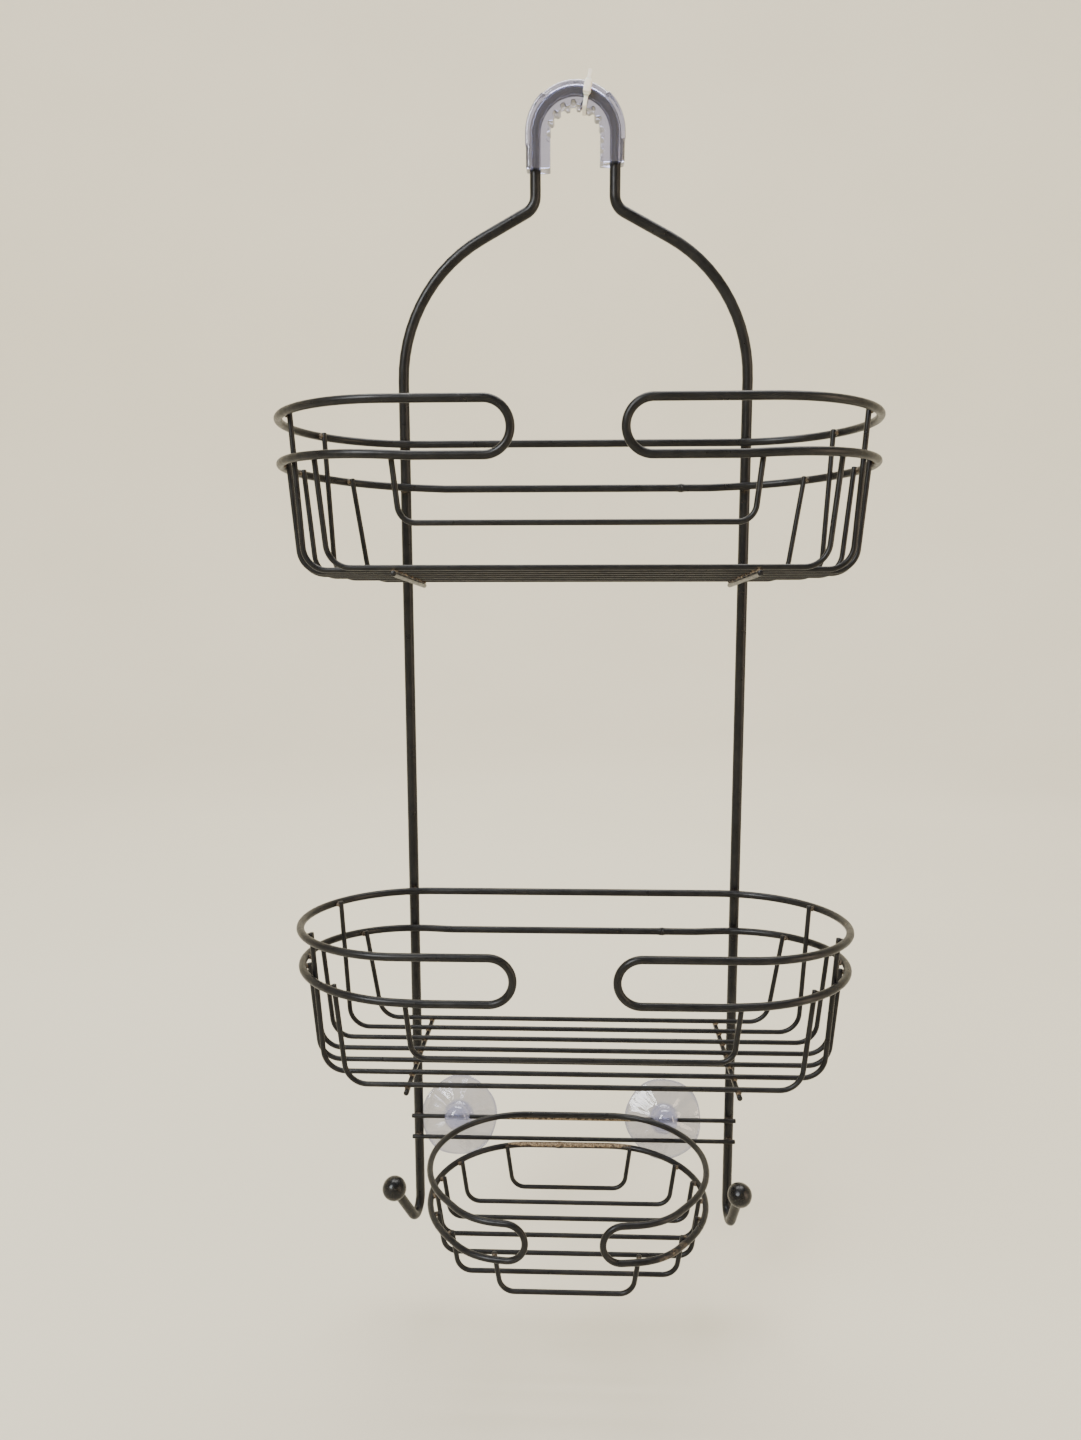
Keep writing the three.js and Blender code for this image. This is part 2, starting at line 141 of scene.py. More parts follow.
def make_camera():
    """The camera in front of the caddy, a little above its middle, looking slightly down."""
    ahead = Vector((math.sin(CAMERA_YAW) * math.cos(CAMERA_PITCH),
                    math.cos(CAMERA_YAW) * math.cos(CAMERA_PITCH), -math.sin(CAMERA_PITCH)))
    level = Vector((math.cos(CAMERA_YAW), -math.sin(CAMERA_YAW), 0))
    up = level.cross(ahead)
    right = level * math.cos(CAMERA_ROLL) + up * math.sin(CAMERA_ROLL)
    above = up * math.cos(CAMERA_ROLL) - level * math.sin(CAMERA_ROLL)
    data = bpy.data.cameras.new("camera")
    data.lens = CAMERA_LENS
    data.sensor_width = CAMERA_SENSOR
    data.clip_start = 0.01
    camera = bpy.data.objects.new("camera", data)
    bpy.context.scene.collection.objects.link(camera)
    turn = Matrix((right, above, -ahead)).transposed()
    camera.matrix_world = Matrix.Translation(CAMERA_PLACE) @ turn.to_4x4()
    bpy.context.scene.camera = camera


# ---------------------------------------------------------------- materials


COAT = (0.0045, 0.0045, 0.0056)
COAT_DUSTY = (0.0125, 0.0125, 0.0135)
BRASS_BURNT = (0.09, 0.055, 0.032)
BRASS_BRIGHT = (0.34, 0.265, 0.175)
SCUFF = (0.50, 0.49, 0.46)
SLEEVE_TINT = (0.44, 0.455, 0.68)
SLEEVE_DEEP = (0.36, 0.37, 0.60)
CUP_TINT = (0.56, 0.565, 0.64)
CUP_DEEP = (0.34, 0.36, 0.56)
DIPPED = (0.0048, 0.0048, 0.0056)
DIPPED_SPECK = (0.04, 0.04, 0.04)
NYLON = (0.86, 0.83, 0.76)
NYLON_GREY = (0.78, 0.74, 0.66)
GROUND = (0.70, 0.655, 0.535)
GROUND_DARKER = (0.68, 0.635, 0.515)


class Nodes:
    """Short calls for building one node material."""

    def __init__(self, name):
        self.material = bpy.data.materials.new(name)
        self.material.use_nodes = True
        self.tree = self.material.node_tree
        self.shader = self.tree.nodes["Principled BSDF"]
        self.place = self.tree.nodes.new("ShaderNodeTexCoord").outputs["Object"]

    def link(self, start, end):
        self.tree.links.new(start, end)

    def noise(self, scale, detail=3.0, roughness=0.5, stretch=None):
        place = self.place
        if stretch:
            mapping = self.tree.nodes.new("ShaderNodeMapping")
            mapping.inputs["Scale"].default_value = stretch
            self.link(place, mapping.inputs["Vector"])
            place = mapping.outputs["Vector"]
        node = self.tree.nodes.new("ShaderNodeTexNoise")
        node.inputs["Scale"].default_value = scale
        node.inputs["Detail"].default_value = detail
        node.inputs["Roughness"].default_value = roughness
        self.link(place, node.inputs["Vector"])
        return node.outputs["Fac"]

    def attribute(self, name):
        node = self.tree.nodes.new("ShaderNodeAttribute")
        node.attribute_name = name
        return node.outputs["Fac"]

    def ramp(self, value, low, high, start=0.0, end=1.0):
        node = self.tree.nodes.new("ShaderNodeMapRange")
        node.inputs["From Min"].default_value = low
        node.inputs["From Max"].default_value = high
        node.inputs["To Min"].default_value = start
        node.inputs["To Max"].default_value = end
        self.link(value, node.inputs["Value"])
        return node.outputs["Result"]

    def math(self, operation, a, b):
        node = self.tree.nodes.new("ShaderNodeMath")
        node.operation = operation
        for socket, value in zip(node.inputs, (a, b)):
            if isinstance(value, (int, float)):
                socket.default_value = value
            else:
                self.link(value, socket)
        return node.outputs["Value"]

    def mix(self, share, a, b):
        node = self.tree.nodes.new("ShaderNodeMix")
        node.data_type = "RGBA"
        self.link(share, node.inputs["Factor"])
        for socket, value in ((node.inputs[6], a), (node.inputs[7], b)):
            if isinstance(value, tuple):
                socket.default_value = (*value, 1.0)
            else:
                self.link(value, socket)
        return node.outputs[2]

    def bump(self, height, distance, strength=1.0, under=None):
        node = self.tree.nodes.new("ShaderNodeBump")
        node.inputs["Distance"].default_value = distance
        node.inputs["Strength"].default_value = strength
        self.link(height, node.inputs["Height"])
        if under is not None:
            self.link(under, node.inputs["Normal"])
        return node.outputs["Normal"]

    def set(self, **values):
        for name, value in values.items():
            socket = self.shader.inputs[name.replace("_", " ")]
            if hasattr(value, "links") or isinstance(value, bpy.types.NodeSocket):
                self.link(value, socket)
            elif isinstance(value, tuple):
                socket.default_value = (*value, 1.0)
            else:
                socket.default_value = value
        return self


def coated_wire_material():
    """Satin black powder coat: fine orange peel, faint dust, brassy burnt welds and pale scuffs."""
    n = Nodes("coated_wire")
    dust = n.ramp(n.noise(90, 4, 0.6), 0.42, 0.75)
    black = n.mix(dust, COAT, COAT_DUSTY)
    patches = n.ramp(n.noise(700, 3, 0.6), 0.44, 0.58, 0.2, 1.0)
    burnt = n.math("MINIMUM", n.math("MULTIPLY", n.attribute("weld"), patches), 1.0)
    brass = n.mix(n.ramp(n.noise(1600, 2), 0.35, 0.65), BRASS_BURNT, BRASS_BRIGHT)
    tinted = n.mix(burnt, black, brass)
    worn = n.math("MULTIPLY", n.attribute("scuff"), n.ramp(n.noise(1100, 3, 0.6), 0.54, 0.60))
    colour = n.mix(worn, tinted, SCUFF)
    rough = n.ramp(n.noise(260, 3), 0.3, 0.7, 0.27, 0.40)
    rough = n.math("ADD", rough, n.math("MULTIPLY", burnt, 0.25))
    peel = n.bump(n.noise(1100, 2, 0.45), 0.00006, 0.5)
    lumps = n.bump(n.noise(240, 2), 0.00025, 0.35, peel)
    n.set(Base_Color=colour, Roughness=rough, Normal=lumps, Specular_IOR_Level=0.24)
    return n.material


def clear_vinyl_material(name, tint, deep, haze, roughness):
    """Clear soft PVC, a little cloudy and deeper where it is thick, with mould marks and scratches."""
    n = Nodes(name)
    dense = n.attribute("dense")
    cloud = n.ramp(n.noise(140, 4, 0.6), 0.35, 0.7)
    colour = n.mix(dense, n.mix(cloud, tint, tuple(c * 0.93 for c in tint)), deep)
    rough = n.ramp(n.noise(420, 3, 0.6), 0.3, 0.75, roughness, roughness + 0.10)
    ripple = n.bump(n.noise(170, 2, 0.4), 0.0006, 0.22)
    scratch = n.bump(n.noise(600, 3, 0.6, stretch=(1.0, 1.0, 0.15)), 0.00008, 0.4, ripple)
    n.set(Base_Color=colour, Roughness=rough, Normal=scratch)
    n.set(Transmission_Weight=n.ramp(dense, 0.0, 1.0, 1.0 - haze, 0.86 - haze))
    n.set(IOR=1.45, Specular_IOR_Level=0.5, Coat_Weight=0.6, Coat_Roughness=0.03)
    return n.material


def dipped_ball_material():
    """Black plastic that was dipped on, glossy and a little uneven, with a few pale specks."""
    n = Nodes("dipped_ball")
    speck = n.ramp(n.noise(900, 2, 0.6), 0.66, 0.74)
    colour = n.mix(speck, DIPPED, DIPPED_SPECK)
    rough = n.ramp(n.noise(300, 3), 0.3, 0.7, 0.22, 0.36)
    skin = n.bump(n.noise(180, 2), 0.0007, 0.35)
    n.set(Base_Color=colour, Roughness=rough, Normal=skin, Specular_IOR_Level=0.3)
    return n.material


def white_nylon_material():
    """Off-white moulded nylon, slightly see-through, with a fine grain."""
    n = Nodes("white_nylon")
    tone = n.ramp(n.noise(500, 3), 0.35, 0.7)
    colour = n.mix(tone, NYLON, NYLON_GREY)
    grain = n.bump(n.noise(2400, 2), 0.00005, 0.5)
    rough = n.ramp(n.noise(800, 2), 0.3, 0.7, 0.38, 0.5)
    n.set(Base_Color=colour, Roughness=rough, Normal=grain)
    n.set(Subsurface_Weight=0.15, Subsurface_Scale=0.002)
    return n.material


MATERIALS = {
    "coated_wire": coated_wire_material(),
    "clear_sleeve": clear_vinyl_material("clear_sleeve", SLEEVE_TINT, SLEEVE_DEEP, 0.08, 0.04),
    "clear_cup": clear_vinyl_material("clear_cup", CUP_TINT, CUP_DEEP, 0.08, 0.04),
    "dipped_ball": dipped_ball_material(),
    "white_nylon": white_nylon_material(),
}

# ---------------------------------------------------------------- meshes


def add_piece(name, points, faces, material, body, replaces=(), attributes=None):
    """Makes a mesh object from points in millimetres and ties it to the frame."""
    mesh = bpy.data.meshes.new(name)
    mesh.from_pydata((np.asarray(points) * MM).tolist(), [], faces)
    for key, values in (attributes or {}).items():
        layer = mesh.attributes.new(key, "FLOAT", "POINT")
        layer.data.foreach_set("value", np.asarray(values, np.float32))
    mesh.polygons.foreach_set("use_smooth", [True] * len(mesh.polygons))
    mesh.materials.append(MATERIALS[material])
    mesh.validate()
    piece = bpy.data.objects.new(name, mesh)
    bpy.context.scene.collection.objects.link(piece)
    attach(piece, body)
    if replaces:
        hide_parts(*replaces)
    return piece


def grid_faces(rows, columns, start=0, closed_rows=False):
    """Quads over rows of points, where each row is a closed ring of columns points."""
    faces = []
    for i in range(rows if closed_rows else rows - 1):
        a = start + i * columns
        b = start + ((i + 1) % rows) * columns
        for k in range(columns):
            n = (k + 1) % columns
            faces.append((a + k, a + n, b + n, b + k))
    return faces


# ---------------------------------------------------------------- bent wire


def at(x, y, z, bend=0.0):
    return Vector((x, y, z)), bend


def bend_line(corners):
    """The centre line of a bending table: straight runs and arcs of at most 5 degrees a step."""
    points = [corners[0][0]]
    for (before, _), (corner, bend), (after, _) in zip(corners, corners[1:], corners[2:]):
        into = (corner - before).normalized()
        out = (after - corner).normalized()
        turn = into.angle(out)
        centre = corner + (out - into).normalized() * (bend / math.cos(turn / 2))
        arm = corner - into * (bend * math.tan(turn / 2)) - centre
        axis = into.cross(out).normalized()
        steps = max(2, math.ceil(math.degrees(turn) / 5))
        for k in range(steps + 1):
            points.append(centre + Matrix.Rotation(turn * k / steps, 3, axis) @ arm)
    points.append(corners[-1][0])
    return [p for i, p in enumerate(points) if i == 0 or (p - points[i - 1]).length > 0.01]


LONGEST_STEP = 6.0      # between rings of a wire, and near a weld
WELD_STEP = 0.9
WELD_REACH = 4.0


def refine(points, spots):
    """Adds points so that no step is long, and none near a weld is coarse."""
    near = np.array([list(spot[0]) for spot in spots]).reshape(-1, 3)
    result = [points[0]]
    for a, b in zip(points, points[1:]):
        coarse = max(1, math.ceil((b - a).length / LONGEST_STEP))
        for i in range(coarse):
            start = a.lerp(b, i / coarse)
            end = a.lerp(b, (i + 1) / coarse)
            length = (end - start).length
            middle = np.array(start.lerp(end, 0.5))
            close = len(near) and np.linalg.norm(near - middle, axis=1).min() < WELD_REACH + length / 2
            fine = max(1, math.ceil(length / WELD_STEP)) if close else 1
            result += [start.lerp(end, (k + 1) / fine) for k in range(fine)]
    return result


SPOT_EDGE = 1.35        # a spot fades out at this many times its reach


def spot_values(points, spots):
    """How strongly each point is marked, from spots of (place, reach, amount)."""
    values = np.zeros(len(points))
    for place, reach, amount in spots:
        distance = np.linalg.norm(points - np.array(place), axis=1)
        values = np.maximum(values, amount * np.clip(SPOT_EDGE - distance / reach, 0, 1))
    return values


def sweep_axes(centres):
    """Tangents along a line, and two square axes that turn as little as they can."""
    steps = np.diff(centres, axis=0)
    steps /= np.linalg.norm(steps, axis=1)[:, None]
    tangents = np.vstack([steps[:1], steps[:-1] + steps[1:], steps[-1:]])
    tangents /= np.linalg.norm(tangents, axis=1)[:, None]
    side = Vector(tangents[0]).orthogonal().normalized()
    normals = []
    for tangent in tangents:
        flat = Vector(tangent)
        side = (side - flat * side.dot(flat)).normalized()
        normals.append(list(side))
    normals = np.array(normals)
    return tangents, normals, np.cross(tangents, normals)


BULGE_REACH = 1.1       # half length of the swelling at a butt weld
CUT_END = [(0.86, 0.16), (0.55, 0.27), (0.10, 0.31)]    # its rounding: radius and length, by the wire's


def wire(node, corners, diameter, matrix=None, welds=(), scuffs=(), bulges=(), sides=20):
    """A smooth wire along a bending table, with softly rounded cut ends, that replaces its node."""
    line = refine(bend_line(corners), [*welds, *scuffs, *[(place, 1, 1) for place, _ in bulges]])
    centres = np.array([list(p) for p in line])
    tangents, normals, binormals = sweep_axes(centres)
    radii = np.full(len(centres), diameter / 2)
    for place, amount in bulges:
        distance = np.linalg.norm(centres - np.array(place), axis=1)
        radii += amount * np.exp(-(distance / BULGE_REACH) ** 2)
    for share, out in CUT_END:
        for end, sign in ((0, -1), (-1, 1)):
            tip = np.array(list(line[end])) + tangents[end] * sign * out * diameter / 2
            where = 0 if end == 0 else len(centres)
            centres = np.insert(centres, where, tip, axis=0)
            normals = np.insert(normals, where, normals[end], axis=0)
            binormals = np.insert(binormals, where, binormals[end], axis=0)
            tangents = np.insert(tangents, where, tangents[end], axis=0)
            radii = np.insert(radii, where, share * diameter / 2)
    angles = 2 * np.pi * np.arange(sides) / sides
    ring = (np.cos(angles)[None, :, None] * normals[:, None, :]
            + np.sin(angles)[None, :, None] * binormals[:, None, :])
    points = (centres[:, None, :] + radii[:, None, None] * ring).reshape(-1, 3)
    faces = grid_faces(len(centres), sides)
    faces.append(tuple(reversed(range(sides))))
    faces.append(tuple(range(len(points) - sides, len(points))))
    marks = {"weld": spot_values(points, welds), "scuff": spot_values(points, scuffs)}
    if matrix is not None:
        points = points @ np.array(matrix.to_3x3()).T + np.array(matrix.translation)
    add_piece(f"{node}_wire", points, faces, "coated_wire", "caddy", [node], marks)


ALONG_X = Vector((1, 0, 0))
ALONG_Y = Vector((0, 1, 0))
BEADS = {   # beads at each kind of weld: half length, width and height, and how burnt
    "riser": ((1.5, 1.0, 1.2), 0.45),
    "bar": ((1.3, 1.3, 0.6), 0.8),
    "guard": ((1.4, 0.9, 1.2), 0.6),
    "rim": ((2.3, 0.8, 1.4), 0.3),
    "cross": ((2.0, 0.8, 1.2), 0.35),
    "dish": ((1.4, 0.9, 1.0), 0.5),
}
MARKS = {   # burnt marks left on the wires: reach and strength
    "riser": (1.3, 0.55),
    "rim": (1.4, 0.4),
    "bar": (1.5, 0.7),
    "guard": (1.5, 0.7),
    "butt": (1.6, 0.3),
    "rim_back": (1.6, 0.35),
    "leg": (2.0, 0.35),
    "cross": (1.8, 0.4),
    "cross_leg": (2.0, 0.4),
    "dish": (1.4, 0.6),
    "dish_rim": (1.4, 0.5),
    "seam": (1.2, 3.0),
    "worn": (2.6, 0.7),
}
BESIDE = 0.1            # beads sit this far out of the wire they lie beside


class WeldBeads:
    """The small beads of metal that squeeze out where wires are welded, gathered in one piece."""

    def __init__(self, name, matrix=None):
        self.name = name
        self.matrix = matrix or Matrix.Identity(4)
        self.points = []
        self.faces = []
        self.burnt = []

    def add(self, place, along, size, burnt):
        """A lumpy bead at place, size = (half length along, half width, half height)."""
        ball = bmesh.new()
        bmesh.ops.create_icosphere(ball, subdivisions=3, radius=1.0)
        turn = Vector(along).to_track_quat("X", "Z").to_matrix()
        start = len(self.points)
        for v in ball.verts:
            broad = noise.noise(v.co * 1.3 + place * 0.37)
            fine = noise.noise(v.co * 4 + place)
            lump = 1 + 0.22 * broad + 0.08 * fine
            local = Vector((v.co.x * size[0], v.co.y * size[1], v.co.z * size[2])) * lump
            self.points.append(list(self.matrix @ (turn @ local + place)))
            self.burnt.append(burnt)
        self.faces += [tuple(start + v.index for v in f.verts) for f in ball.faces]
        ball.free()

    def build(self):
        """Makes the piece from all the beads added."""
        nothing = np.zeros(len(self.points))
        add_piece(self.name, self.points, self.faces, "coated_wire", "caddy", (),
                  {"weld": self.burnt, "scuff": nothing})


# ---------------------------------------------------------------- hanger frame and ball tips


def frame_side(side):
    """Bending table of one side of the frame, from the crown's corner down to the hook's tip."""
    sign = SIDES[side]
    neck = NECK_END - NECK_BEND * math.tan((math.pi / 2 - SHOULDER_SLOPE) / 2)
    shoulder = neck - (LEG_HALF - CROWN_BEND) * math.tan(SHOULDER_SLOPE)
    foot = sign * FOOT_HALF
    turn = HOOK_TURN[side]
    return [
        at(sign * CROWN_BEND, 0, CROWN, CROWN_BEND),
        at(sign * CROWN_BEND, 0, neck, NECK_BEND),
        at(sign * LEG_HALF, 0, shoulder, SHOULDER_BEND),
        at(foot, 0, FOOT, HOOK_BEND),
        at(foot + turn * HOOK_TWIST, -HOOK_RUN, FOOT, HOOK_BEND),
        at(foot + turn, -HOOK_REACH, BALL_HEIGHT),
    ]


def leg_x(z):
    """Distance of a leg's centre line from the middle at height z."""
    shoulder = NECK_END - (LEG_HALF - CROWN_BEND) * math.tan(SHOULDER_SLOPE)
    return LEG_HALF + (FOOT_HALF - LEG_HALF) * (z - shoulder) / (FOOT - shoulder)


def make_frame(welds):
    corners = [*reversed(frame_side("left")), *frame_side("right")]
    wire("hanger_frame", corners, FRAME_WIRE, welds=welds, sides=28)


BALL_RINGS = 34
BALL_COLUMNS = 48
BALL_TO_POLE = 0.985    # the last ring stands this share of the way to the pole
COLLAR = 0.5            # height of the collar where the wire goes in, and its length in rings
COLLAR_RINGS = 2.2
BORE_SLACK = 0.05       # round the wire, at the ball's opening


def make_ball(side):
    """A dipped ball: nearly round, with a small collar of plastic where the wire goes in."""
    (corner, _), (tip, _) = frame_side(side)[-2:]
    turn_up = (tip - corner).to_track_quat("Z", "Y").to_matrix()
    radius = BALL / 2
    points = []
    opening = math.asin((FRAME_WIRE / 2 + BORE_SLACK) / radius)
    for i in range(BALL_RINGS):
        angle = (math.pi - opening) * (1 - i / (BALL_RINGS - 1) * BALL_TO_POLE)
        collar = COLLAR * math.exp(-(i / COLLAR_RINGS) ** 2)
        for k in range(BALL_COLUMNS):
            turn = 2 * math.pi * k / BALL_COLUMNS
            across = radius * math.sin(angle)
            p = Vector((across * math.cos(turn), across * math.sin(turn),
                        radius * math.cos(angle) - collar))
            wobble = 1 + 0.018 * noise.noise(p * 0.22 + tip * 0.1)
            points.append(list(tip + turn_up @ p * wobble))
    faces = grid_faces(BALL_RINGS, BALL_COLUMNS)
    faces.append(tuple(range(len(points) - BALL_COLUMNS, len(points))))
    faces.append(tuple(reversed(range(BALL_COLUMNS))))
    add_piece(f"ball_tip_{side}_dipped", points, faces, "dipped_ball", "caddy",
              [f"ball_tip_{side}"])


# ---------------------------------------------------------------- grip sleeve and its tie

SLEEVE_IN = CROWN
SLEEVE_HALF_DEPTH = 5.0
SLEEVE_END = {"left": -25.9, "right": -23.7}
SLEEVE_OUT = 4.45                             # outwards on the bands, and less on the rest
SLEEVE_CROWN_STEP = 0.25
SLEEVE_LEG_STEP = 0.35
BAND_END = {"left": 4.5, "crown": 4.5, "right": 2.5}    # the bands end this far down the legs
CROWN_ZONE = (math.radians(41), math.radians(42.5))     # and start here, on both sides of the crown
TUNNEL_RADIUS = FRAME_WIRE / 2 + 0.12
TOOTH_HEIGHT = 1.7
TOOTH_PITCH = math.radians(22.5)
TOOTH_OFFSET = math.radians(-4)
TOOTH_RUN = {"left": 3.0, "right": 10.0}      # teeth go on this far down each leg
SECTION_POINTS = 64
LEG_STATIONS = 50
CROWN_STATIONS = 240
END_ROUND = 1.0                               # rounding of the sleeve's two ends, over so many stations
END_STATIONS = 3


def smooth_step(value, low, high):
    t = min(1.0, max(0.0, (value - low) / (high - low)))
    return t * t * (3 - 2 * t)


def sleeve_stations():
    """Stations along the sleeve from its left end to its right: (angle, run down a leg, side)."""
    centre = CROWN - CROWN_BEND
    left_run = centre - SLEEVE_END["left"]
    right_run = centre - SLEEVE_END["right"]
    stations = []
    for k in range(LEG_STATIONS):
        stations.append((-math.pi / 2, left_run * (1 - k / LEG_STATIONS), "left"))
    for k in range(CROWN_STATIONS + 1):
        stations.append((-math.pi / 2 + math.pi * k / CROWN_STATIONS, 0.0, "crown"))
    for k in range(LEG_STATIONS):
        stations.append((math.pi / 2, right_run * (k + 1) / LEG_STATIONS, "right"))
    return stations


def tooth_wave(angle, run, side):
    """1 in a valley between teeth, 0 on a tip, fading out down the legs."""
    along = angle + math.copysign(run / (CROWN_BEND - SLEEVE_IN), angle)
    phase = math.cos(2 * math.pi * (along - TOOTH_OFFSET) / TOOTH_PITCH)
    wave = smooth_step(phase, -0.75, 0.75)
    limit = TOOTH_RUN.get(side, 1e9)
    return wave * (1 - smooth_step(run, limit - 2, limit))


def sleeve_section(angle, run, side):
    """Outer half width, corner radius there and inner half width, at a station."""
    crown_zone = 1 - smooth_step(abs(angle), *CROWN_ZONE)
    leg_zone = smooth_step(run, BAND_END[side], BAND_END[side] + 0.4)
    out = SLEEVE_OUT - SLEEVE_CROWN_STEP * crown_zone - SLEEVE_LEG_STEP * leg_zone
    corner = 1.3 + 1.3 * crown_zone + 0.5 * leg_zone
    valley = TOOTH_HEIGHT * tooth_wave(angle, run, side)
    inward = SLEEVE_IN + SLEEVE_CROWN_STEP * (1 - crown_zone) - valley
    return out, corner, inward


def rounded_section(out, corner, inward, half, inset):
    """Points of the sleeve's cross-section: out and inward from the wire's centre, half deep."""
    out, inward, half = out - inset, inward - inset, half - inset
    outer = min(corner, half - 0.2)
    inner = 0.55
    points = []
    for sign_r, sign_y, radius in ((1, -1, outer), (1, 1, outer), (-1, 1, inner), (-1, -1, inner)):
        reach = out if sign_r > 0 else inward
        start = {(1, -1): -90, (1, 1): 0, (-1, 1): 90, (-1, -1): 180}[(sign_r, sign_y)]
        for k in range(SECTION_POINTS // 4):
            turn = math.radians(start + 90 * k / (SECTION_POINTS // 4 - 1))
            points.append((sign_r * (reach - radius) + radius * math.cos(turn),
                           sign_y * (half - radius) + radius * math.sin(turn)))
    return points


def make_sleeve():
    """The clear sleeve, swept over the crown round a tunnel for the wire."""
    centre = CROWN - CROWN_BEND
    stations = sleeve_stations()
    outer, tunnel = [], []
    last = len(stations) - 1
    for i, (angle, run, side) in enumerate(stations):
        from_end = min(i, last - i)
        short = 1 - min(1, from_end / END_STATIONS)
        inset = END_ROUND * (1 - math.sqrt(1 - short ** 2))
        radial = Vector((math.sin(angle), 0, math.cos(angle)))
        middle = radial * CROWN_BEND + Vector((0, 0, centre - run))
        section = rounded_section(*sleeve_section(angle, run, side), SLEEVE_HALF_DEPTH, inset)
        for r, y in section:
            outer.append(list(middle + radial * r + Vector((0, y, 0))))
        for r, y in section:
            turn = math.atan2(y, r)
            tunnel.append(list(middle + radial * (TUNNEL_RADIUS * math.cos(turn))
                               + Vector((0, TUNNEL_RADIUS * math.sin(turn), 0))))
    faces = grid_faces(len(stations), SECTION_POINTS)
    faces += [tuple(reversed(f)) for f in grid_faces(len(stations), SECTION_POINTS, len(outer))]
    for end, flip in ((0, False), (last * SECTION_POINTS, True)):
        for k in range(SECTION_POINTS):
            here = end + k
            after = end + (k + 1) % SECTION_POINTS
            face = (here, after, len(outer) + after, len(outer) + here)
            faces.append(tuple(reversed(face)) if flip else face)
    piece = add_piece("grip_sleeve_clear", outer + tunnel, faces, "clear_sleeve",
                      "caddy", ["grip_sleeve"])
    face_out(piece)


def face_out(piece):
    """Turns the faces of a closed piece outwards."""
    shell = bmesh.new()
    shell.from_mesh(piece.data)
    bmesh.ops.recalc_face_normals(shell, faces=shell.faces)
    shell.to_mesh(piece.data)
    shell.free()


TIE_OFFSET = 2.1
TIE_ANGLE = math.radians(10.7)
TIE_WIDTH = 1.8
TIE_THICKNESS = 0.8
TIE_HEAD = Vector((3.4, 3.2, 5.1))
TIE_HEAD_HEIGHT = 17.9
TIE_TAIL = 5.0
TIE_SLACK = 0.12        # strap to sleeve, in front and behind
TIE_SAG = 0.55          # and under the tooth tips
TIE_BENDS = (0.9, 1.6)  # strap bends: under the teeth, and over the crown
STRAP_EDGE = 0.25


def rounded_box(size, radius):
    """A box with rounded edges, centred on its middle."""
    box = bmesh.new()
    bmesh.ops.create_cube(box, size=1.0)
    bmesh.ops.scale(box, vec=size, verts=box.verts)
    bmesh.ops.bevel(box, geom=box.edges[:], offset=radius, segments=4, profile=0.5, affect="EDGES")
    return box


def make_tie():
    """The cable tie: strap loop, square head with its slot, and the cut tail."""
    turn = (Matrix.Translation((TIE_OFFSET, 0, CROWN - CROWN_BEND))
            @ Matrix.Rotation(TIE_ANGLE, 4, "Y"))
    low = CROWN_BEND - SLEEVE_IN - TIE_SAG - TIE_THICKNESS / 2
    high = CROWN_BEND + SLEEVE_OUT + TIE_THICKNESS / 2
    half = SLEEVE_HALF_DEPTH + TIE_SLACK
    away = half + TIE_THICKNESS / 2
    tight, easy = TIE_BENDS
    middle = (low + high) / 2
    line = refine(bend_line([
        at(0, -away, middle), at(0, -away, low, tight), at(0, away, low, tight),
        at(0, away, high, easy), at(0, -away, high, easy), at(0, -away, middle + 0.01),
    ]), [])
    profile = []
    for sign_x, sign_t, start in ((1, 1, 0), (-1, 1, 90), (-1, -1, 180), (1, -1, 270)):
        for k in range(4):
            angle = math.radians(start + 30 * k)
            profile.append((sign_x * (TIE_WIDTH / 2 - STRAP_EDGE) + STRAP_EDGE * math.cos(angle),
                            sign_t * (TIE_THICKNESS / 2 - STRAP_EDGE) + STRAP_EDGE * math.sin(angle)))
    points = []
    rows = line[:-1]
    for i, p in enumerate(rows):
        step = (rows[(i + 1) % len(rows)] - rows[i - 1]).normalized()
        side = step.cross(Vector((1, 0, 0)))
        points += [list(turn @ (p + Vector((x, 0, 0)) + side * d)) for x, d in profile]
    faces = grid_faces(len(rows), len(profile), closed_rows=True)
    head_y = -half - TIE_HEAD.y / 2 - 0.05
    solids = [
        (rounded_box(TIE_HEAD, 0.55), Vector((0, head_y, TIE_HEAD_HEIGHT))),
        (rounded_box(Vector((2.5, 1.9, 1.0)), 0.3),
         Vector((0, head_y - 0.1, TIE_HEAD_HEIGHT + TIE_HEAD.z / 2 + 0.2))),
        (rounded_box(Vector((TIE_WIDTH, TIE_THICKNESS, TIE_TAIL)), STRAP_EDGE),
         Vector((0, head_y, TIE_HEAD_HEIGHT + (TIE_HEAD.z + TIE_TAIL) / 2 - 0.4))),
        (rounded_box(Vector((2.5, 1.8, 1.2)), 0.35),
         Vector((0, head_y + 0.3, TIE_HEAD_HEIGHT - TIE_HEAD.z / 2 - 0.1))),
    ]
    for solid, place in solids:
        start = len(points)
        points += [list(turn @ (v.co + place)) for v in solid.verts]
        faces += [tuple(start + v.index for v in f.verts) for f in solid.faces]
        solid.free()
    piece = add_piece("cable_tie_nylon", points, faces, "white_nylon",
                      "caddy", ["cable_tie"])
    face_out(piece)


# ---------------------------------------------------------------- baskets


def rim_half(rim, y, inset):
    """Half width of a rim at depth y, on a line set in from its centre line."""
    into_back = y - (rim["back"] - rim["bend"])
    into_front = rim["side_end"] - y
    bend = rim["bend"] if into_back > 0 else rim["front_corners"][0][2]
    past = max(0.0, into_back, into_front)
    return rim["half"] - bend + math.sqrt((bend - inset) ** 2 - past ** 2)


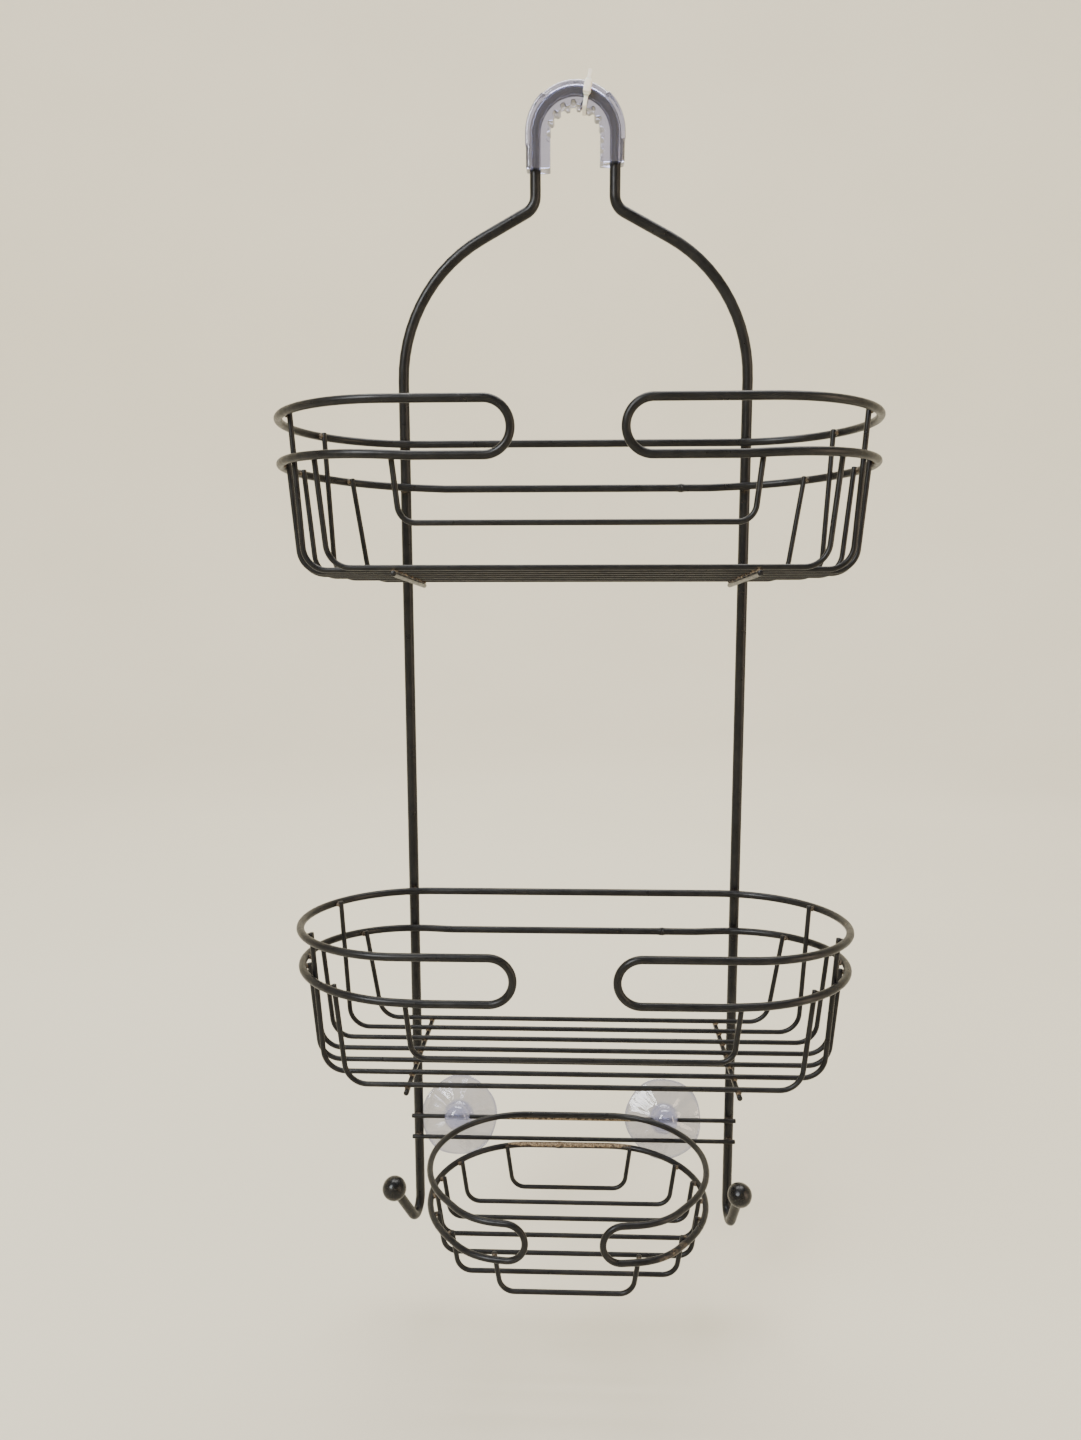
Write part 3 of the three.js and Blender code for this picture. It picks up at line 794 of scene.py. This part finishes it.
def basket_rims():
    """Sizes of a basket's top and lower rims."""
    back = -(FRAME_WIRE + RIM_WIRE) / 2 - GAP
    front = back - RIM_DEPTH
    rims = {
        "top": {"back": back, "front": front, "z": 0.0},
        "lower": {"back": back + RIM_DROP * math.tan(BASKET_TILT),
                  "front": front + RIM_FRONT_STEP, "z": -RIM_DROP},
    }
    for rim in rims.values():
        rim["bend"] = (rim["back"] - rim["front"]) / 2
        rim["half"] = RIM_STRAIGHT + rim["bend"]
        rim["side_end"] = rim["front"] + rim["bend"]
        rim["front_corners"] = [(rim["half"], rim["front"], rim["bend"])]
    return rims


def rim_corners(rims, hairpin, lift, weld):
    """One wire that makes a top rim, a lower rim and the two front hairpins between them."""
    top, lower = rims["top"], rims["lower"]
    turn = (top["z"] - lower["z"]) / 2
    rise_from = lower["half"] - lower["bend"] - RISE_RUN

    def rise(sign, y):
        return [at(sign * rise_from, y, lower["z"], RISE_BEND)] if lift else []

    def corners(rim, sign, up):
        return [at(sign * half, y, rim["z"] + up, bend) for half, y, bend in rim["front_corners"]]

    def side(sign, turn_at):
        return [
            *rise(sign, lower["back"]),
            at(sign * lower["half"], lower["back"], lower["z"] + lift, lower["bend"]),
            *corners(lower, sign, lift),
            *rise(sign, lower["front"]),
            at(sign * turn_at, lower["front"], lower["z"], turn),
            at(sign * turn_at, top["front"], top["z"], turn),
            *reversed(corners(top, sign, 0)),
            at(sign * top["half"], top["back"], top["z"], top["bend"]),
        ]

    return [
        at(weld + CUT_GAP, lower["back"], lower["z"]),
        *side(1, hairpin["right"]),
        *reversed(side(-1, hairpin["left"])),
        at(weld - CUT_GAP, lower["back"], lower["z"]),
    ]


def cross_u(y, top_half, top_z, floor_half, floor_z, bend):
    """Bending table of a U-shaped wire across a basket or dish."""
    return [at(-top_half, y, top_z), at(-floor_half, y, floor_z, bend),
            at(floor_half, y, floor_z, bend), at(top_half, y, top_z)]


def make_basket(place):
    """One basket's wires and beads. Returns the marks that its welds leave on the frame."""
    height, shift, weld, floor_fall = BASKETS[place]
    prefix = f"{place}_basket"
    matrix = Matrix.Translation((shift, 0, height)) @ Matrix.Rotation(-BASKET_TILT, 4, "X")
    rims = basket_rims()
    beads = WeldBeads(f"{prefix}_weld_beads", matrix)
    inset = (RIM_WIRE + THIN_WIRE) / 2 + GAP
    butt = Vector((weld, rims["lower"]["back"], -RIM_DROP))
    rim_spots = [(butt, *MARKS["butt"])]
    bar_spots = {-1: [], 1: []}
    first = -FLOOR_FIRST
    last = first - (len(FLOOR_WIRES) - 1) * FLOOR_PITCH

    def floor_at(y):
        return FLOOR - floor_fall * (y - last) / (first - last)

    for index, (which, lean) in enumerate(FLOOR_WIRES):
        rim = rims[which]
        y = first - index * FLOOR_PITCH
        half = rim_half(rim, y, inset)
        risen = smooth_step(half, RIM_STRAIGHT - RISE_RUN, rim["half"])
        lift = RIM_LIFT * risen if which == "lower" else 0
        spots = []
        for sign in (-1, 1):
            joint = Vector((sign * (half + THIN_WIRE / 2 + BESIDE), y, rim["z"] + lift - 0.2))
            spots.append((joint, *MARKS["riser"]))
            rim_spots.append((joint, *MARKS["rim"]))
            beads.add(joint, ALONG_Y, *BEADS["riser"])
            bar = Vector((sign * BAR_HALF, y, floor_at(y) - THIN_WIRE / 2 - GAP / 2))
            spots.append((bar, *MARKS["bar"]))
            bar_spots[sign].append(spots[-1])
            beads.add(bar, ALONG_X, *BEADS["bar"])
        wire(f"{prefix}_floor_wire_{index + 1}",
             cross_u(y, half, rim["z"] + lift + RISER_RISE, half - lean, floor_at(y), FLOOR_BEND),
             THIN_WIRE, matrix, spots)
    guard_y = rims["lower"]["front"] + inset
    guard_spots = []
    for sign in (-1, 1):
        joint = Vector((sign * GUARD_HALF, guard_y - THIN_WIRE / 2, -RIM_DROP + 0.2))
        guard_spots.append((joint, *MARKS["guard"]))
        rim_spots.append((joint, *MARKS["rim"]))
        beads.add(joint, ALONG_X, *BEADS["guard"])
    wire(f"{prefix}_front_guard",
         cross_u(guard_y, GUARD_HALF, -RIM_DROP, GUARD_FOOT, GUARD_HEIGHT, GUARD_BEND),
         THIN_WIRE, matrix, guard_spots)
    for side, sign in SIDES.items():
        ends = [at(sign * BAR_HALF, y, floor_at(y) - THIN_WIRE - GAP / 2)
                for y in (first + BAR_REACH, last - BAR_REACH)]
        wire(f"{prefix}_cross_bar_{side}", ends, THIN_WIRE, matrix, bar_spots[sign])
    frame_spots = []
    for rim in rims.values():
        for sign in (-1, 1):
            x = sign * leg_x(height + rim["z"]) - shift
            joint = Vector((x, rim["back"] + RIM_WIRE / 2 + BESIDE, rim["z"]))
            rim_spots.append((joint, *MARKS["rim_back"]))
            frame_spots.append((matrix @ joint, *MARKS["leg"]))
            beads.add(joint, ALONG_X, *BEADS["rim"])
    scuffs = []
    if place == "upper":
        scuffs = [(Vector((-112, -86, 1.5)), 2.6, 0.9),
                  (Vector((-62, rims["top"]["front"], 1.7)), 1.6, 0.8),
                  (Vector((-43, rims["top"]["front"], 1.7)), 1.4, 0.8)]
    wire(f"{prefix}_rim", rim_corners(rims, HAIRPIN, RIM_LIFT, weld), RIM_WIRE, matrix,
         rim_spots, scuffs, [(butt, 0.35)], sides=24)
    beads.build()
    return frame_spots


# ---------------------------------------------------------------- soap dish and cross wires

CROSS_Y = -(FRAME_WIRE + THIN_WIRE) / 2 - GAP


def make_cross_wires():
    """The two cross wires and their beads. Returns the marks that they leave on the frame."""
    beads = WeldBeads("cross_wire_weld_beads")
    frame_spots = []
    for name, z in CROSS.items():
        spots = []
        for sign in (-1, 1):
            joint = Vector((sign * leg_x(z), CROSS_Y + THIN_WIRE / 2 + BESIDE, z))
            spots.append((joint, *MARKS["cross"]))
            frame_spots.append((joint, *MARKS["cross_leg"]))
            beads.add(joint, ALONG_X, *BEADS["cross"])
        if name == "upper":   # bare seam under the dish's top rim
            spots += [(Vector((x, CROSS_Y - 0.8, z - 0.8)), *MARKS["seam"]) for x in range(-34, 30)]
        wire(f"cross_wire_{name}", [at(-CROSS_HALF, CROSS_Y, z), at(CROSS_HALF, CROSS_Y, z)],
             THIN_WIRE, welds=spots)
    beads.build()
    return frame_spots


def make_dish():
    """The soap dish: one rim wire of the baskets' form, egg-shaped, and its U-shaped wires."""
    matrix = (Matrix.Translation((DISH_SHIFT, 0, DISH_TOP - DISH_BACK * math.sin(DISH_TILT)))
              @ Matrix.Rotation(-DISH_TILT, 4, "X"))
    front = -DISH_BACK - DISH_DEPTH
    rims = {}
    turn = math.atan2(DISH_SIDE[0] - DISH_SHOULDER[0], DISH_SIDE[1] - DISH_SHOULDER[1])
    for name, z in (("top", 0.0), ("lower", -DISH_DROP)):
        rims[name] = {"back": -DISH_BACK - z * math.tan(DISH_TILT), "front": front, "z": z,
                      "bend": DISH_BACK_BEND, "half": DISH_HALF,
                      "side_end": DISH_SIDE[1] + DISH_SIDE[2] * math.tan(turn / 2),
                      "front_corners": [DISH_SIDE, DISH_SHOULDER]}
    lower = rims["lower"]
    beads = WeldBeads("soap_dish_weld_beads", matrix)
    inset = (DISH_WIRE + THIN_WIRE) / 2 + GAP
    first = lower["back"] - inset - DISH_WIRE_SET_IN
    last = front + inset + DISH_WIRE_SET_IN
    rim_spots = [(Vector((x, lower["back"] - 0.9, lower["z"] + 1.1)), *MARKS["seam"])
                 for x in range(-31, 33)]
    rim_spots += [(Vector((x, -93 + (x - 48) * 1.3, lower["z"] - 1)), *MARKS["worn"])
                  for x in (44, 48, 52)]
    for index in range(DISH_WIRE_COUNT):
        share = index / (DISH_WIRE_COUNT - 1)
        y = first + (last - first) * share
        ends = index in (0, DISH_WIRE_COUNT - 1)
        half = DISH_WIRE_ENDS if ends else rim_half(lower, y, inset)
        drop = DISH_FLOOR_BACK + (DISH_FLOOR_FRONT - DISH_FLOOR_BACK) * share
        spots = []
        for sign in (-1, 1):
            aside = 0.0 if ends else sign * (THIN_WIRE / 2 + BESIDE)
            outward = {0: DISH_WIRE / 2, DISH_WIRE_COUNT - 1: -DISH_WIRE / 2}.get(index, 0.0)
            joint = Vector((sign * half + aside, y + outward, lower["z"] + BESIDE))
            spots.append((joint, *MARKS["dish"]))
            rim_spots.append((joint, *MARKS["dish_rim"]))
            beads.add(joint, ALONG_Y, *BEADS["dish"])
        wire(f"soap_dish_wire_{index + 1}",
             cross_u(y, half, lower["z"] + RISER_RISE, half - DISH_WIRE_LEAN, lower["z"] - drop,
                     DISH_WIRE_BEND),
             THIN_WIRE, matrix, spots)
    wire("soap_dish_rim", rim_corners(rims, DISH_HAIRPIN, 0, DISH_WELD), DISH_WIRE, matrix,
         rim_spots, (), [(Vector((DISH_WELD, lower["back"], lower["z"])), 0.3)], sides=24)
    beads.build()


# ---------------------------------------------------------------- suction cups

CUP_DROOP = math.radians(27)
CUP_PROFILE = [   # radius, distance behind the cross wire, from the head's tip round to the hollow
    (0, -5.75), (1.6, -5.7), (3.2, -5.35), (4.7, -4.55), (5.9, -3.2), (6.6, -1.5), (6.8, 0.3), (6.65, 2.0),
    (6.2, 3.4), (6.1, 4.3), (6.7, 5.2), (8.2, 6.05), (10.5, 6.95), (13.2, 7.9), (16.2, 8.9), (18.6, 9.7),
    (20.1, 10.25), (20.35, 10.6), (20.1, 10.9), (19.0, 10.95), (17.6, 10.75), (14.5, 9.95), (11, 9.1),
    (7.5, 8.45), (4, 8.05), (0, 7.95),
]
CUP_SIDES = 120
CUP_SEEDS = {"left": 0.0, "right": 2.1}     # so that the two have taken a different set
BELL_FROM = 6.5         # the bell starts at this radius, and is this wide
BELL_WIDTH = 13.7
HOLE_SLACK = 0.2        # round the wire, in the head's hole


def spline(points, per_span):
    """A smooth curve through points, by Catmull-Rom."""
    result = []
    for i in range(len(points) - 1):
        p = [Vector(points[min(max(i + k, 0), len(points) - 1)]) for k in (-1, 0, 1, 2)]
        for s in range(per_span):
            t = s / per_span
            slope = p[2] - p[0]
            square = 2 * p[0] - 5 * p[1] + 4 * p[2] - p[3]
            cube = 3 * p[1] - p[0] - 3 * p[2] + p[3]
            result.append(0.5 * (2 * p[1] + slope * t + square * t ** 2 + cube * t ** 3))
    result.append(Vector(points[-1]))
    return result


def make_cup(side):
    """A soft moulded cup: a round head on the cross wire, and a thin bell that has taken a set."""
    joint = next(j for j in frame["joints"] if j["name"] == f"cup_{side}_swivel")
    pivot = Vector(joint["pos_m"]) / MM
    seed = CUP_SEEDS[side]
    tilt = Matrix.Translation(pivot) @ Matrix.Rotation(-CUP_DROOP, 4, "X")
    profile = spline(CUP_PROFILE, 3)
    points = []
    for radius, depth in profile[1:-1]:
        share = max(0.0, (radius - BELL_FROM) / BELL_WIDTH)
        for k in range(CUP_SIDES):
            turn = 2 * math.pi * k / CUP_SIDES
            corners = 0.016 * math.cos(5 * turn + seed) + 0.012 * math.cos(3 * turn - seed)
            wide = radius * (1 + share * corners)
            sag = 0.35 * math.cos(2 * turn + seed) + 0.16 * math.cos(5 * turn + 2 * seed)
            fold = 1.1 * math.cos(7 * turn + 3 * seed) + 0.6 * math.cos(13 * turn + seed)
            back = depth + share ** 2 * sag + share * (1 - share) * fold
            points.append(list(tilt @ Vector((wide * math.sin(turn), back, wide * math.cos(turn)))))
    rows = len(profile) - 2
    faces = grid_faces(rows, CUP_SIDES)
    for (radius, depth), ring, flip in ((profile[0], 0, True), (profile[-1], rows - 1, False)):
        tip = len(points)
        points.append(list(tilt @ Vector((0, depth, 0))))
        for k in range(CUP_SIDES):
            face = (tip, ring * CUP_SIDES + k, ring * CUP_SIDES + (k + 1) % CUP_SIDES)
            faces.append(tuple(reversed(face)) if flip else face)
    piece = add_piece(f"suction_cup_{side}_clear", points, faces, "clear_cup",
                      f"cup_{side}", [f"suction_cup_{side}"])
    face_out(piece)
    drill(piece, pivot)
    mark_dense(piece, tilt)


def mark_dense(piece, tilt):
    """Marks where a cup's vinyl is thick: its head, and a little at the rim's edge."""
    layer = piece.data.attributes.new("dense", "FLOAT", "POINT")
    upright = tilt.inverted()
    for vertex, mark in zip(piece.data.vertices, layer.data):
        place = upright @ (vertex.co / MM)
        radius = math.hypot(place.x, place.z)
        mark.value = max(1 - smooth_step(radius, 6.4, 8.5), 0.5 * smooth_step(radius, 18.6, 20.0))


def drill(piece, pivot):
    """Cuts the hole for the cross wire through the cup's head."""
    cutter_mesh = bpy.data.meshes.new("cutter")
    rod = bmesh.new()
    turn = Matrix.Translation(pivot * MM) @ Matrix.Rotation(math.pi / 2, 4, "Y")
    radius = (THIN_WIRE / 2 + HOLE_SLACK) * MM
    bmesh.ops.create_cone(rod, cap_ends=True, segments=32, radius1=radius, radius2=radius,
                          depth=0.03, matrix=turn)
    rod.to_mesh(cutter_mesh)
    rod.free()
    cutter = bpy.data.objects.new("cutter", cutter_mesh)
    bpy.context.scene.collection.objects.link(cutter)
    cut = piece.modifiers.new("hole", "BOOLEAN")
    cut.object = cutter
    cut.solver = "EXACT"
    bpy.context.view_layer.update()
    made = bpy.data.meshes.new_from_object(piece.evaluated_get(bpy.context.evaluated_depsgraph_get()))
    piece.modifiers.clear()
    piece.data = made
    bpy.data.objects.remove(cutter)
    made.polygons.foreach_set("use_smooth", [True] * len(made.polygons))
    made.update()


# ---------------------------------------------------------------- stage and lights


FLOOR_BELOW = 0.05      # metres, as all in this section: floor under the caddy's lowest point
FLOOR_RADIUS = 1.5
CURVE_RADIUS = 0.9      # floor to wall
CURVE_STEPS = 12
WALL_TOP = 3.0
STAGE_SIDES = 96


def make_stage():
    """A pale round floor that curves up into a low wall all round, plain and matt."""
    floor = FOOT * MM - FLOOR_BELOW
    profile = [(0.8, 0.0), (FLOOR_RADIUS, 0.0)]
    for k in range(1, CURVE_STEPS + 1):
        turn = math.pi / 2 * k / CURVE_STEPS
        profile.append((FLOOR_RADIUS + CURVE_RADIUS * math.sin(turn),
                        CURVE_RADIUS * (1 - math.cos(turn))))
    profile.append((FLOOR_RADIUS + CURVE_RADIUS, WALL_TOP))
    points = []
    for radius, height in profile:
        for k in range(STAGE_SIDES):
            turn = 2 * math.pi * k / STAGE_SIDES
            points.append((radius * math.cos(turn), radius * math.sin(turn), floor + height))
    faces = grid_faces(len(profile), STAGE_SIDES)
    faces.append(tuple(reversed(range(STAGE_SIDES))))
    mesh = bpy.data.meshes.new("pale_floor")
    mesh.from_pydata(points, [], faces)
    mesh.polygons.foreach_set("use_smooth", [True] * len(mesh.polygons))
    plain = Nodes("pale_floor")
    tone = plain.ramp(plain.noise(3, 2), 0.3, 0.7)
    plain.set(Base_Color=plain.mix(tone, GROUND, GROUND_DARKER), Roughness=0.9)
    mesh.materials.append(plain.material)
    stage = bpy.data.objects.new("pale_floor", mesh)
    bpy.context.scene.collection.objects.link(stage)


MIDDLE = (0, 0, -0.27)  # of the caddy
LIGHTS = [              # name, place, aim, size, watts, colour
    ("key", (-0.9, -1.3, 0.9), MIDDLE, (0.7, 1.0), 46, (0.94, 0.97, 1.0)),
    ("warm_fill", (1.4, -0.7, -0.1), MIDDLE, (0.5, 1.2), 11, (1.0, 0.78, 0.60)),
    ("top", (0.1, 0.5, 1.5), MIDDLE, (1.6, 1.2), 30, (1.0, 0.99, 0.97)),
    ("wall_wash", (0.0, 0.6, 1.7), (0, 2.2, 0.3), (2.0, 0.8), 45, (1.0, 0.98, 0.95)),
]
ROOM = (0.86, 0.84, 0.80, 1)
ROOM_STRENGTH = 0.60


def add_light(name, place, aim, size, power, colour):
    """A soft rectangular light, turned towards its aim."""
    data = bpy.data.lights.new(name, "AREA")
    data.shape = "RECTANGLE"
    data.size, data.size_y = size
    data.energy = power
    data.color = colour
    light = bpy.data.objects.new(name, data)
    light.location = place
    light.rotation_euler = (Vector(aim) - Vector(place)).to_track_quat("-Z", "Y").to_euler()
    bpy.context.scene.collection.objects.link(light)


def make_lights():
    """A soft cool key from the left, a weak warm fill from the right, and light from above."""
    for light in LIGHTS:
        add_light(*light)
    world = bpy.data.worlds.new("soft_room")
    world.use_nodes = True
    world.node_tree.nodes["Background"].inputs["Color"].default_value = ROOM
    world.node_tree.nodes["Background"].inputs["Strength"].default_value = ROOM_STRENGTH
    bpy.context.scene.world = world


# ---------------------------------------------------------------- assembly

make_camera()
weld_spots = make_basket("upper") + make_basket("lower") + make_cross_wires()
make_frame(weld_spots)
make_dish()
for name in SIDES:
    make_ball(name)
    make_cup(name)
make_sleeve()
make_tie()
make_stage()
make_lights()

bpy.context.view_layer.update()
